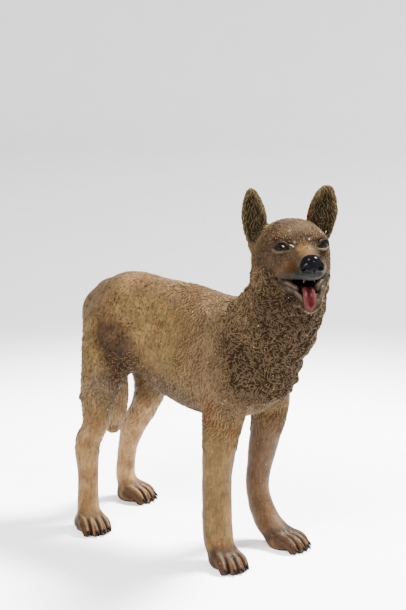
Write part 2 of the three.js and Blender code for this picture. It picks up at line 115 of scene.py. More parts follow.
# Each ear's side, place across the skull, half-width, and how its hollow turns and its tip leans outwards
EARS = [(-1, -17.3, 6.1, 22, 5.5), (1, 14.6, 7.3, -8, 11)]
LUMP_SIZE, LUMP_DEPTH = 6.2, 0.75
RUFF_MIDDLE, RUFF_REACH = np.array([0, -63, 128]), np.array([40, 32, 46])
# Height over the floor where the neck's curls end and the breast's begin
BREAST_TOP = 128
# Each eye's middle on the face, how far it looks aside in degrees, half its length, and the rise of its lids
EYE_PLACE, EYE_ASIDE, EYE_HALF, LID_RISE, LID_DROP = (10.45, 14.1, -0.1), 36, 5.1, 4.3, -1.3
# The lower lip's edge as left, fore and up from the head's middle, and thickness
LIP_ROWS = [
    (-12.2, 15, -15.6, 0.5), (-10, 17.2, -18.1, 0.6), (-8.5, 19.5, -19.7, 0.65), (-5.9, 21.5, -20.7, 0.65),
    (-3.8, 24, -22.2, 0.65), (-2.6, 25.5, -24.9, 0.7), (0, 26.6, -27.2, 0.8), (3.3, 26, -26.4, 0.7),
    (5.8, 24, -24, 0.65), (8, 20.5, -20, 0.6), (10.4, 17.2, -17.9, 0.6), (12.2, 15, -15.6, 0.5),
]
# The fold of flesh inside the lip and the crease at the mouth's corner, as side, fore and up
INNER_LIP = [(11.5, 13.5, -16), (9.6, 16.2, -17.3), (7.6, 18.4, -18.2), (5.4, 20.2, -19.2)]
SEAM = [(13.2, 14.5, -15.4), (12.2, 16.2, -15.4), (11.2, 17, -15.4), (9.9, 17.8, -15.4), (7.2, 19, -15.5)]
INNER_THICK, SEAM_THICK, FLESH_THICK = 1.7, 0.5, 1.8

# The floor's flat radius, the bend of its edge and its wall's height in metres, and its circle's sides
FLOOR_FLAT, FLOOR_BEND, WALL_HEIGHT, FLOOR_SIDES = 1.2, 0.4, 1.1, 64
# Each lamp's azimuth and elevation in degrees, distance and size in metres, and power in watts
LAMPS = {"key": (62, 55, 1.9, 0.5, 320), "fill": (-80, 50, 1.9, 0.8, 98), "front": (-20, 35, 1.5, 0.1, 10)}
LAMP_AIM = np.array([0, 0, 0.1])
SKY_LIGHT = 0.5
# The camera's place, what it looks at, its focal length and picture's height in pixels, and its sensor
CAMERA_PLACE, CAMERA_AIM = np.array([-740.74, -612.85, 385.86]), np.array([72.2, 45.5, 105.56])
FOCAL_LENGTH, PICTURE_HEIGHT, SENSOR = 1900, 610, 36


def linear(paint):
    """A paint's red, green and blue from 0 to 255, in Blender's linear light."""
    share = np.array(paint) / 255
    return np.where(share <= 0.04045, share / 12.92, ((share + 0.055) / 1.055) ** 2.4)


def ramp(value, low, high):
    """0 below low, 1 above high and smooth between them. low may be the greater."""
    share = np.clip((value - low) / (high - low), 0, 1)
    return share * share * (3 - 2 * share)


def lengths(arrows):
    """The length of each arrow."""
    return np.linalg.norm(arrows, axis=1)


def join(a, b, soft):
    """Both shapes, with a fillet about `soft` wide."""
    near = np.maximum(soft - np.abs(a - b), 0) / soft
    return np.minimum(a, b) - near * near * soft / 4


def carve(a, b, soft):
    """a without b, with the edge rounded."""
    return -join(-a, b, soft)


def join_all(d, parts, p, soft):
    """A shape with several parts joined to it, one after the other."""
    for part in parts:
        d = join(d, part(p), soft)
    return d


def nearest(parts, p):
    """Distance from the nearest of several parts."""
    return np.min([part(p) for part in parts], axis=0)


def from_ellipsoid(u, v, w, a, b, c):
    """Distance from an ellipsoid's surface, for places at u, v, w from its middle."""
    reach = np.sqrt((u / a) ** 2 + (v / b) ** 2 + (w / c) ** 2)
    slope = np.sqrt((u / a**2) ** 2 + (v / b**2) ** 2 + (w / c**2) ** 2)
    return np.where(slope < 1e-9, -np.minimum(a, b), reach * (reach - 1) / np.maximum(slope, 1e-9))


def bounded(part, middle, reach, margin=14):
    """A part that is worked out in full only near its own bounding ball."""
    def field(p):
        d = lengths(p - middle) - reach
        close = d <= margin
        if close.any():
            d[close] = part(p[close])
        return d
    return field


def turned(origin, turn, pitch=0, roll=0):
    """A frame: a function from left, fore and up to a place, with its three directions."""
    a, b, c = math.radians(-turn), math.radians(-pitch), math.radians(roll)
    about_z = np.array([[math.cos(a), -math.sin(a), 0], [math.sin(a), math.cos(a), 0], [0, 0, 1]])
    about_x = np.array([[1, 0, 0], [0, math.cos(b), -math.sin(b)], [0, math.sin(b), math.cos(b)]])
    about_y = np.array([[math.cos(c), 0, math.sin(c)], [0, 1, 0], [-math.sin(c), 0, math.cos(c)]])
    left, back, up = (about_z @ about_x @ about_y).T
    directions = np.array([left, -back, up])

    def at(*where):
        return np.asarray(origin) + np.array(where) @ directions
    return at, directions


def ball(where, middle, size):
    """An ellipsoid in a frame, with its middle and its half-axes along left, fore and up."""
    at, directions = where
    centre = at(*middle)
    return lambda p: from_ellipsoid(*(directions @ (p - centre).T), *size)


def refine(rows, steps):
    """More rows between the given ones, on a Catmull-Rom curve."""
    rows = np.array(rows, float)
    padded = np.vstack([rows[0], rows, rows[-1]])
    fine = []
    for before, here, after, last in zip(padded, padded[1:], padded[2:], padded[3:]):
        for t in np.arange(steps) / steps:
            bend = 2 * before - 5 * here + 4 * after - last
            twist = 3 * (here - after) + last - before
            fine.append(here + t * (after - before + t * (bend + t * twist)) / 2)
    return np.array(fine + [rows[-1]])


def limb(rows, side, steps=8):
    """A limb with an elliptical section along rows, measured from the nearest stretch of its middle line."""
    fine = refine(rows, steps)
    start, end = fine[:-1], fine[1:]
    along = end[:, :3] - start[:, :3]
    length = lengths(along)
    ahead = along / length[:, None]
    deep = np.cross(ahead, side)
    deep /= lengths(deep)[:, None]
    wide = np.cross(deep, ahead)
    offset = (start[:, :3] * ahead).sum(1)
    size = (start[:, :3] ** 2).sum(1)

    def stretch(p):
        run = p @ ahead.T - offset
        share = np.clip(run / length, 0, 1)
        past = run - share * length
        gap = (p**2).sum(1)[:, None] - 2 * p @ start[:, :3].T + size - run**2 + past**2
        n = gap.argmin(1)
        row = np.arange(len(p))
        share, past = share[row, n], past[row, n]
        a = start[n, 3] + share * (end[n, 3] - start[n, 3])
        b = start[n, 4] + share * (end[n, 4] - start[n, 4])
        away = p - start[n, :3]
        u, v = (away * wide[n]).sum(1), (away * deep[n]).sum(1)
        return from_ellipsoid(u, v, past, a, b, np.minimum(a, b))

    def whole(p):
        batches = np.array_split(p, len(p) // 20_000 + 1)
        return np.concatenate([stretch(batch) for batch in batches])

    middle = (fine[0, :3] + fine[-1, :3]) / 2
    reach = (lengths(fine[:, :3] - middle) + fine[:, 3:].max(1)).max()
    return bounded(whole, middle, reach)


def paw(x, y, turn):
    """The foot, its four toes with a cleft between each two, and its claws."""
    at, directions = foot = turned((x, y, 0), turn)
    pad = ball(foot, (0, -PAW_LENGTH * 0.11, PAW_HEIGHT * 0.36),
               (PAW_WIDTH * 0.45, PAW_LENGTH * 0.37, PAW_HEIGHT * 0.6))
    toes, claws = [], []
    for n in (-1.5, -0.5, 0.5, 1.5):
        reach = PAW_LENGTH * (0.33 if abs(n) > 1 else 0.43)
        thick = PAW_WIDTH * 0.145
        places = [(n * PAW_WIDTH * 0.2, -PAW_LENGTH * 0.04, PAW_HEIGHT * 0.66, 1),
                  (n * PAW_WIDTH * 0.24, reach * 0.6, PAW_HEIGHT * 0.5, 1),
                  (n * PAW_WIDTH * 0.25, reach, PAW_HEIGHT * 0.18, 0.86)]
        rows = [(*at(l, f, u), thick * share, thick * share * 1.2) for l, f, u, share in places]
        toes.append(limb(rows, directions[0], 3))
        claw = [(*at(n * PAW_WIDTH * 0.255, reach + run, u), r, r) for run, u, r in CLAW]
        claws.append(limb(claw, directions[0], 3))

    def whole(p):
        return join(pad(p), nearest(toes, p), 1.5)

    def clefts(p):
        near = np.sort([toe(p) for toe in toes], axis=0)
        return near[1] - near[0]
    middle, size = at(0, 0, PAW_HEIGHT / 2), PAW_LENGTH * 0.75
    return [bounded(part, middle, size) for part in (whole, clefts, lambda p: nearest(claws, p))]


FACE = turned(HEAD_MIDDLE, HEAD_TURN, HEAD_PITCH, HEAD_ROLL)


def ear(side, across, half, outwards, lean):
    """A leaf that stands on the skull, and the hollow in its front."""
    root = FACE[0](across, -9, -1.3)
    at, directions = turned(root, HEAD_TURN - side * outwards, HEAD_PITCH, HEAD_ROLL + side * lean)

    def rows(*places):
        return [(*at(0, f, u), a * half, b) for u, f, a, b in places]
    leaf = rows((-10, 1, 0.4, 2.6), (-3, 0.4, 0.68, 3.4), (5, 0, 0.95, 3.7), (12, -0.4, 1, 3.3),
                (18, -0.8, 0.82, 2.6), (21.5, -1, 0.62, 2), (24.4, -1, 0.38, 1.3), (25.8, -1, 0.1, 0.4))
    hollow = rows((-5, 4, 0.3, 1.8), (2, 3.8, 0.58, 2.8), (10, 2.8, 0.68, 2.7), (17, 1.5, 0.45, 1.9),
                  (20.5, 0.8, 0.2, 1.1))
    return limb(leaf, directions[0]), limb(hollow, directions[0])


def along_face(*places):
    """Rows of a limb on the face's middle plane, from places fore, up, half-width and half-depth."""
    return limb([(*FACE[0](0, f, u), a, b) for f, u, a, b in places], FACE[1][0])


def pair(middle, size):
    """The same ellipsoid on both sides of the face."""
    l, f, u = middle
    return [ball(FACE, (side * l, f, u), size) for side in SIDES]


def fold(rows):
    """A round fold of skin across the face, from rows of left, fore, up and thickness."""
    return limb([(*FACE[0](l, f, u), thick, thick) for l, f, u, thick in rows], FACE[1][1], 4)


def pair_of_folds(places, thick):
    """The same fold on both sides of the face, from places side, fore and up."""
    return [fold([(side * l, f, u, thick) for l, f, u in places]) for side in SIDES]


def eye(side):
    """An eye's socket, ball, two lids, iris's middle and glint, in a frame of its own that looks outwards."""
    l, f, u = EYE_PLACE
    where = turned(FACE[0](side * l, f, u), HEAD_TURN - side * EYE_ASIDE, HEAD_PITCH, HEAD_ROLL)
    at, directions = where
    socket = ball(where, (side * 0.4, 0.7, 0.2), (EYE_HALF, 2.6, 3.3))
    eyeball = ball(where, (side * 0.3, -2.0, 0.1), (4.5, 2.3, 3.4))

    def lid(rise):
        rows = []
        for t in np.linspace(-1, 1, 9):
            bulge = 1 - t * t
            fore, up = 0.45 * bulge - 0.9 * t * t, rise * bulge - 1.0 - 0.35 * t
            place = at(side * (0.45 + EYE_HALF * t), fore, up)
            rows.append((*place, 0.3 + 0.25 * bulge, 0.3 + 0.25 * bulge))
        return limb(rows, directions[1], 3)
    return socket, eyeball, lid(LID_RISE), lid(LID_DROP), at(side * 0.1, 0.3, 0.2), at(0.8, 0.2, 0.8)


SKULL = ball(FACE, (0, -4, -5.6), (16.2, 16.5, 12.2))
FOREHEAD = ball(FACE, (0, 5, -4.6), (12.6, 11, 10))
CHEEKS = pair((8.6, -4, -15), (8.2, 12.5, 10.5))
BROWS = pair((7.2, 10.6, 2.6), (5.4, 3.4, 2.2))
BRIDGE = along_face((7, -4, 8, 6), (15, -4.9, 6.6, 5.5), (22, -5.4, 5.8, 4.8), (28.5, -5.4, 5.2, 4))
LIPS = along_face((4, -12.5, 13.2, 6), (13, -12.6, 12, 4.8), (20, -11.5, 9.8, 3.6), (27.8, -10.4, 6.4, 2.9))
JAW = along_face((2, -20, 13, 7), (12, -22, 11, 5), (19, -24.2, 8.2, 4), (23.6, -25.8, 5.2, 3))
MOUTH = along_face((12, -17, 12.8, 0.8), (18, -17.4, 10.6, 2.1), (24, -18.4, 7.6, 4), (33, -20, 8, 6.4))
GULLET = along_face((10, -18.5, 6, 1.4), (18, -19.6, 6.6, 2.6), (24, -20.6, 5.4, 3.2))
EYES = [eye(side) for side in SIDES]
NOSE_LOBES = [ball(FACE, (0, 29.8, -2.8), (4.4, 3.3, 2.7)), ball(FACE, (0, 31.2, -5.4), (3.4, 3.1, 3.4)),
              *pair((3.4, 30.6, -5.9), (2.7, 2.9, 2.6))]
NOSTRILS = pair((3.3, 33.6, -5.7), (1.3, 1.7, 1.0)) + pair((5.1, 32.4, -6.5), (1.5, 1.6, 0.6))
PHILTRUM = ball(FACE, (0, 34, -8.3), (0.4, 2.6, 3))
LOWER_LIP = fold(LIP_ROWS)
LIP_FLESH = fold([(l, f - 1.2, u - 1.6, FLESH_THICK) for l, f, u, _ in LIP_ROWS])
INNER_LIPS = pair_of_folds(INNER_LIP, INNER_THICK)
SEAMS = pair_of_folds(SEAM, SEAM_THICK)
TEETH = pair((2.7, 25.6, -14.6), (0.3, 0.4, 1.1))
TONGUE = along_face((14, -19.6, 3, 1.4), (20, -19, 3.0, 1.6), (24.5, -19.5, 3.1, 1.7), (27, -22.2, 3.2, 1.6),
                    (27.8, -25, 3.0, 1.4), (27.7, -27.3, 2.1, 1.2))
GROOVE = along_face((18, -17, 0.5, 0.5), (24.3, -17.5, 0.6, 0.6), (28.5, -21.2, 0.6, 0.6),
                    (29.2, -25, 0.5, 0.5))
EAR_PARTS = [ear(*shape) for shape in EARS]


def nose(p):
    """The lobes of the nose, with a nostril and its slit on each side and a groove below."""
    first, *others = NOSE_LOBES
    d = join_all(first(p), others, p, 1.2)
    for part in NOSTRILS:
        d = carve(d, part(p), 0.5)
    return carve(d, PHILTRUM(p), 0.4)


def head(p):
    """The head's form before its features are cut and laid on."""
    d = join(SKULL(p), FOREHEAD(p), 5)
    for parts, soft in ((CHEEKS, 6), (BROWS, 4), ([BRIDGE], 4), ([LIPS], 2.5), ([JAW], 3)):
        d = join_all(d, parts, p, soft)
    return d


def with_features(d, p):
    """The head, once joined to the neck, with its mouth, eyes, nose, lips, teeth, tongue and ears."""
    d = carve(d, MOUTH(p), 0.8)
    d = carve(d, GULLET(p), 0.6)
    for socket, eyeball, upper, lower, *_ in EYES:
        d = join(carve(d, socket(p), 0.8), eyeball(p), 0.1)
        d = join_all(d, (upper, lower), p, 0.5)
    d = join(d, nose(p), 0.8)
    d = join_all(d, (LIP_FLESH, *INNER_LIPS), p, 2)
    for seam in SEAMS:
        d = carve(d, seam(p), 0.3)
    d = join(d, LOWER_LIP(p), 0.8)
    d = join_all(d, TEETH, p, 0.2)
    d = join(d, carve(TONGUE(p), GROOVE(p), 0.8), 0.3)
    for leaf, hollow in EAR_PARTS:
        d = join(d, carve(leaf(p), hollow(p), 1.8), 2.5)
    return d


def from_ruff(p):
    """How far a place is from the ruff's middle on breast and throat, with 1 about its edge."""
    return lengths((p - RUFF_MIDDLE) / RUFF_REACH)


def lumps(p):
    """The height of the ruff's larger lumps, between -1 and 1."""
    x, y, z = p.T
    turn = 2 * math.pi / LUMP_SIZE
    u = x * 0.62 * turn + 1.3 * np.sin(z * 0.21 + y * 0.13)
    v = (y * 0.55 + z * 0.3) * turn + 1.1 * np.sin(x * 0.27 + z * 0.17)
    w = (z * 0.52 - y * 0.28) * turn + 1.2 * np.sin(y * 0.23 - x * 0.19)
    return (np.sin(u) * np.cos(v) + np.sin(v) * np.cos(w) + np.sin(w) * np.cos(u)) / 1.5


TRUNK = limb(TORSO, LEFT), limb(NECK, LEFT)
TAIL_LIMB = limb(TAIL, LEFT)
CREASES = [limb([(-side * x, *rest) for x, *rest in FLANK], LEFT) for side in SIDES]
LEG_LIMBS = [limb(rows, LEFT) for rows in LEGS.values()]
PAW_PARTS = [paw(*place) for place in PAWS]
HEAD = bounded(head, HEAD_MIDDLE, FACE_REACH)


def near_head(p):
    """Whether each place is near enough to the head for its features."""
    return lengths(p - HEAD_MIDDLE) < FACE_REACH


def dog(p):
    """The whole smooth body, standing on flat soles."""
    d = join(TRUNK[0](p), TRUNK[1](p), 3.5)
    d = join_all(d, LEG_LIMBS, p, 6.5)
    for crease in CREASES:
        d = carve(d, crease(p), 4)
    d = join(d, TAIL_LIMB(p), 5)
    d = join(d, HEAD(p), 7)
    near = near_head(p)
    d[near] = with_features(d[near], p[near])
    for foot, _, claws in PAW_PARTS:
        d = join(join(d, foot(p), 3), claws(p), 0.3)
    return np.maximum(d, -p[:, 2])


def slope_of(field, p, nudge=0.05):
    """The field's slope at each place."""
    return np.stack([field(p + step) - field(p - step) for step in np.eye(3) * nudge], 1) / (2 * nudge)


CORNERS = np.array([(n & 1, n >> 1 & 1, n >> 2) for n in range(8)])
EDGES = [(a, a | bit) for a in range(8) for bit in (1, 2, 4) if not a & bit]


def cells_near(field, low, high, step):
    """The grid cells of one step that may hold the surface, found from coarse blocks down to fine ones."""
    halvings = 4
    size = step * 2**halvings
    counts = np.ceil((high - low) / size).astype(int)
    cells = np.stack(np.meshgrid(*map(np.arange, counts), indexing="ij"), -1).reshape(-1, 3)
    for _ in range(halvings):
        gap = np.abs(field(low + (cells + 0.5) * size))
        cells = cells[gap < size * (1.6 if size > 4 else 1.15)]
        cells = (cells[:, None] * 2 + CORNERS).reshape(-1, 3)
        size /= 2
    return cells, counts * 2**halvings


def surface(field, low, high, step):
    """The zero surface inside a box as points and quads, with one point for each cell that it crosses."""
    cells, counts = cells_near(field, low, high, step)
    stride = np.array([1, counts[0] + 1, (counts[0] + 1) * (counts[1] + 1)])
    keys, inverse = np.unique((cells[:, None] + CORNERS) @ stride, return_inverse=True)
    lattice = np.stack([keys % stride[1], keys // stride[1] % (counts[1] + 1), keys // stride[2]], 1)
    value = field(low + lattice * step)[inverse.reshape(-1, 8)]
    inside = value < 0
    crossed = inside.any(1) & ~inside.all(1)
    cells, value, inside = cells[crossed], value[crossed], inside[crossed]

    total = np.zeros((len(cells), 3))
    count = np.zeros(len(cells))
    for a, b in EDGES:
        cut = inside[:, a] != inside[:, b]
        share = value[cut, a] / (value[cut, a] - value[cut, b])
        total[cut] += CORNERS[a] + share[:, None] * (CORNERS[b] - CORNERS[a])
        count[cut] += 1
    points = low + step * (cells + total / count[:, None])

    order = np.argsort(cells @ stride)
    sorted_keys = (cells @ stride)[order]
    quads = []
    for axis in range(3):
        one, two = (axis + 1) % 3, (axis + 2) % 3
        cut = inside[:, 0] != inside[:, 1 << axis]
        ring = []
        for back_one, back_two in ((1, 1), (0, 1), (0, 0), (1, 0)):
            near = cells[cut].copy()
            near[:, one] -= back_one
            near[:, two] -= back_two
            ring.append(order[np.searchsorted(sorted_keys, near @ stride).clip(0, len(order) - 1)])
        ring = np.stack(ring, 1)
        flipped = ~inside[cut, 0]
        ring[flipped] = ring[flipped][:, ::-1]
        quads.append(ring)
    return points, np.concatenate(quads)


def settled(points, field, most):
    """Points moved onto the surface along the field's slope."""
    slope = slope_of(field, points)
    steep = np.maximum((slope**2).sum(1), 0.05)
    move = np.clip(field(points) / steep, -most, most)
    return points - slope * move[:, None]


def noise(p, size, seed):
    """Smooth noise between -1 and 1, with lumps about `size` across."""
    place = p / size + seed * 17.3
    cell = np.floor(place).astype(np.int64)
    share = place - cell
    share = share**3 * (share * (share * 6 - 15) + 10)
    total = np.zeros(len(p))
    for corner in CORNERS:
        x, y, z = (cell + corner).T
        hashed = (x * 73856093 ^ y * 19349663 ^ z * 83492791 ^ seed * 2654435) & 0x7FFFFFFF
        hashed = (hashed ^ hashed >> 13) * 1274126177 & 0x7FFFFFFF
        weight = np.where(corner, share, 1 - share).prod(1)
        total += weight * ((hashed >> 8 & 0xFFFF) / 0x7FFF - 1)
    return total


def relief(p):
    """How far the hand-modelled skin stands above the smooth body, in millimetres."""
    off_head = ramp(HEAD(p), 0.5, 5)
    above_sole = ramp(p[:, 2], 1, 5)
    uneven = 0.26 * noise(p, 9, 1) + 0.12 * noise(p, 4.2, 2)
    rough = LUMP_DEPTH * lumps(p) + 0.24 * noise(p, 2.3, 3) + 0.12 * noise(p, 1.5, 4)
    x, y, z = p.T
    thigh = ramp(z, 58, 68) * ramp(z, 116, 104) * ramp(y, 40, 48) * ramp(np.abs(x), 13, 18)
    bumps = ramp(noise(p, 4, 5), 0.25, 0.75) * thigh
    uneven += 0.14 * noise(p, 2, 6) * (1 - off_head)
    in_ruff = ramp(from_ruff(p), 1.15, 0.85)
    return (uneven * (0.7 + 0.3 * off_head) + rough * in_ruff * off_head + bumps) * above_sole


def to_row(points):
    """Points in the modelling frame, in millimetres, brought to the row frame, in metres."""
    return (points - MIDDLE) * MM


def to_modelling(points):
    """Points in the row frame, in metres, brought to the modelling frame, in millimetres."""
    return points / MM + MIDDLE


def place_points(mesh, points):
    """Sets a mesh's points from the modelling frame."""
    mesh.vertices.foreach_set("co", to_row(points).astype(np.float32).ravel())


def mesh_of(name, points, faces):
    """A smooth-shaded mesh in the row frame, from points in the modelling frame."""
    mesh = bpy.data.meshes.new(name)
    mesh.vertices.add(len(points))
    place_points(mesh, points)
    faces = np.asarray(faces, np.int32)
    sides = faces.shape[1]
    mesh.loops.add(faces.size)
    mesh.loops.foreach_set("vertex_index", faces.ravel())
    mesh.polygons.add(len(faces))
    mesh.polygons.foreach_set("loop_start", np.arange(0, faces.size, sides, dtype=np.int32))
    mesh.update(calc_edges=True)
    mesh.polygons.foreach_set("use_smooth", np.ones(len(faces), bool))
    return mesh


def triples(items, name, kind=np.float32):
    """Three numbers of each of a mesh's points or triangles."""
    found = np.empty(len(items) * 3, kind)
    items.foreach_get(name, found)
    return found.reshape(-1, 3)


def points_of(mesh):
    """A mesh's points in the modelling frame, in millimetres."""
    return to_modelling(triples(mesh.vertices, "co"))


def inside_box(points):
    """Points kept inside the CAD model's box."""
    low, high = (to_modelling(np.array(corner)) for corner in CAD_BOX)
    return np.clip(points, low, high)


def add_object(name, data):
    """A new object in the scene."""
    made = bpy.data.objects.new(name, data)
    bpy.context.scene.collection.objects.link(made)
    return made


def show(name, mesh, material):
    """Adds a piece of the figure, standing for the CAD solid."""
    mesh.materials.append(material)
    piece = add_object(name, mesh)
    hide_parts("dog")
    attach(piece, "root")


def keep_attribute(mesh, name, values):
    """Keeps a number for each of a mesh's points, for its material."""
    mesh.attributes.new(name, "FLOAT", "POINT").data.foreach_set("value", values.astype(np.float32))


def keep_colours(mesh, colours):
    """Keeps the paint at each of a mesh's points, for its material."""
    rgba = np.hstack([colours, np.ones((len(colours), 1))]).astype(np.float32)
    mesh.attributes.new("paint", "FLOAT_COLOR", "POINT").data.foreach_set("color", rgba.ravel())


def body_mesh():
    """The whole figure's skin, with the hand-modelled unevenness, simplified where it is smooth."""
    points, quads = surface(dog, *SKIN_BOX, STEP)
    points = settled(points, dog, STEP / 3)
    points[:, 2] = np.where(points[:, 2] < 0.25, 0, points[:, 2])
    mesh = mesh_of("dog_skin", points, quads)
    normals = triples(mesh.vertex_normals, "vector").astype(float)
    points = points + normals * relief(points)[:, None]
    place_points(mesh, inside_box(points))
    triangles = 2 * len(quads)
    if triangles < MOST_TRIANGLES:
        return mesh
    holder = add_object("dog_skin", mesh)
    simpler = holder.modifiers.new("simpler", "DECIMATE")
    simpler.ratio = MOST_TRIANGLES / triangles
    simple = bpy.data.meshes.new_from_object(holder.evaluated_get(bpy.context.evaluated_depsgraph_get()))
    bpy.data.objects.remove(holder)
    bpy.data.meshes.remove(mesh)
    simple.validate()
    return simple


def skin(p):
    """Distance from the hand-modelled skin."""
    return dog(p) - relief(p)


def spread(mesh, wanted, spacing, seed, tries=5):
    """Places on the skin at least `spacing` apart, more of them where `wanted` is near 1."""
    rng = np.random.default_rng(seed)
    mesh.calc_loop_triangles()
    corners = triples(mesh.loop_triangles, "vertices", np.int32)
    a, b, c = points_of(mesh)[corners].transpose(1, 0, 2)
    area = lengths(np.cross(b - a, c - a)) / 2
    chosen = rng.choice(len(area), int(area.sum() * tries / spacing**2), p=area / area.sum())
    u, v = rng.random((2, len(chosen), 1))
    over = (u + v) > 1
    u, v = np.where(over, 1 - u, u), np.where(over, 1 - v, v)
    p = a[chosen] + (b - a)[chosen] * u + (c - a)[chosen] * v
    p = p[rng.random(len(p)) < wanted(p)]
    taken = {}
    kept = []
    for n, place in enumerate(p):
        x, y, z = (int(value) for value in place // spacing)
        around = [(x + i, y + j, z + k) for i in (-1, 0, 1) for j in (-1, 0, 1) for k in (-1, 0, 1)]
        near = [other for cell in around for other in taken.get(cell, ())]
        if all(((place - other) ** 2).sum() >= spacing**2 for other in near):
            taken.setdefault((x, y, z), []).append(place)
            kept.append(n)
    return p[kept]


def band(first, sides):
    """The triangles between a ring of points and the next one."""
    faces = []
    for n in range(sides):
        here, beside = first + n, first + (n + 1) % sides
        faces += [(here, here + sides, beside + sides), (here, beside + sides, beside)]
    return faces


def strand_faces(rings, sides):
    """The triangles of one strand: its bands and its two closed ends."""
    last = (rings - 1) * sides
    faces = []
    for first in range(0, last, sides):
        faces += band(first, sides)
    for k in range(1, sides - 1):
        faces += [(0, k, k + 1), (last, last + k + 1, last + k)]
    return np.array(faces)


def strands(name, roots, heading, hair, seed):
    """Small tapered strands of clay that lie on the skin, each from its root along its curling heading."""
    rng = np.random.default_rng(seed)
    count, rings, sides = len(roots), hair.rings, hair.sides
    length = hair.length * rng.uniform(0.75, 1.3, (count, 1)) * (0.6 + 0.4 * ramp(HEAD(roots), 1, 7)[:, None])
    width = hair.width * rng.uniform(0.75, 1.25, (count, 1))
    curl = hair.bend * rng.choice([-1, 1], (count, 1)) * rng.uniform(0.5, 1.2, (count, 1))
    shade = rng.uniform(-1, 1, count)
    place = roots.copy()
    rows, tips = [], []
    for t in np.linspace(0, 1, rings):
        slope = slope_of(skin, place)
        normal = slope / lengths(slope)[:, None]
        place = place - normal * skin(place)[:, None]
        heading = heading - normal * (heading * normal).sum(1)[:, None]
        heading /= lengths(heading)[:, None]
        across = np.cross(normal, heading)
        thick = width * math.sin(math.pi * (0.1 + 0.84 * t)) ** 0.5
        for angle in np.arange(sides) * 2 * math.pi / sides:
            rise = math.cos(angle)
            rows.append(place + thick * (across * math.sin(angle) + normal * (0.8 * rise + 0.25 + 0.3 * t)))
            # The tip: toward 1 on a strand's crest for its wear and painted highlight, toward 0 underneath
            # for painted shade
            tips.append(np.full(count, 0.5 + 0.5 * rise * (hair.pale if rise > 0 else 1)))
        turn = curl / (rings - 1) * (1 if t < 0.5 else -0.6)
        heading = heading * np.cos(turn) + across * np.sin(turn)
        place = place + heading * length / (rings - 1)
    first = np.arange(count)[:, None, None] * rings * sides
    points = np.stack(rows, 1).reshape(-1, 3)
    mesh = mesh_of(name, inside_box(points), (strand_faces(rings, sides) + first).reshape(-1, 3))
    keep_attribute(mesh, "tip", np.stack(tips, 1).ravel())
    roots = np.repeat(roots, rings * sides, axis=0)
    keep_colours(mesh, painted(roots) * (1 + 0.18 * np.repeat(shade, rings * sides))[:, None])
    return mesh


# Paint, as red, green and blue from 0 to 255
OCHRE = 106, 83, 49
BACK = 97, 74, 50
RUMP = 88, 68, 46
LEG = 98, 75, 44
PALE_LEG = 150, 116, 76
SHADED_LEG = 84, 62, 42
SHOULDER = 112, 88, 62
RUFF = 60, 45, 30
NAPE = 100, 80, 55
BELLY = 84, 68, 55
TAIL_TAN = 158, 128, 92
HOLLOW_SHADE = 58, 40, 25
SHADE_AND_FUR_BROWN = 32, 20, 11
RUST = 90, 50, 22
MOSS = 78, 68, 40
TOE_RED = 58, 34, 18
PAW_BROWN = 52, 39, 27
CLAW_BLACK = 14, 11, 9
FACE_BROWN = 68, 51, 37
LIP_BLUE = 33, 34, 33
LIP_GREY = 58, 50, 38
GUM_PINK = 74, 57, 47
MOUTH_DARK = 18, 8, 7
TOOTH = 98, 80, 62
NOSE_BLACK = 8, 8, 10
TONGUE_RED = 64, 31, 31
TONGUE_DARK = 46, 12, 13
TONGUE_PALE = 98, 64, 59
EAR_OLIVE = 98, 84, 55
EAR_DARK = 36, 32, 21
EAR_RIM_HIGHLIGHT = 94, 60, 38
EYE_DARK = 5, 5, 4
EYE_BROWN = 22, 17, 9
LID_DARK = 16, 12, 8
LID_BROWN = 46, 33, 22
LID_PALE = 84, 70, 50
CATCHLIGHT = 190, 186, 170
CREST_WEAR_AND_HIGHLIGHT = 112, 94, 66
PAINTED_CREVICE_SHADE = 20, 12, 7
PAINTED_SPARKLE = 206, 194, 172
# Small dabs: a chip, painted highlights, painted shade under the throat and other marks: paint, place and
# reach
PAINTED_GLINT = 226, 220, 204
DABS = [
    # A white chip on the right foreleg; a painted highlight on the right thigh's lit front edge
    ((205, 196, 180), (-27.1, -40.9, 29.7), 1.1), ((200, 176, 144), (-19, 27.6, 83.6), 1.3),
    # Painted shade under the throat; a paler patch on the neck's side
    ((18, 12, 8), (-21.6, -84.6, 149), 5.6), ((100, 80, 58), (-21, -64.5, 157), 8),
    # Painted highlights: glints of the varnish on the head
    (PAINTED_GLINT, (-17.8, -83.4, 175.4), 0.6), (PAINTED_GLINT, (-16.6, -83.3, 177.3), 0.42),
    (PAINTED_GLINT, (-13.5, -77.9, 181.8), 0.42), (PAINTED_GLINT, (-9.9, -87.4, 178.4), 0.42),
    # The last painted glint; a dark and a pale fleck by the right hock
    (PAINTED_GLINT, (14.5, -79.8, 175.5), 0.45), ((110, 84, 58), (-30, 42, 53.7), 1.2),
    ((196, 170, 134), (-29.5, 38, 55), 1.0),
]
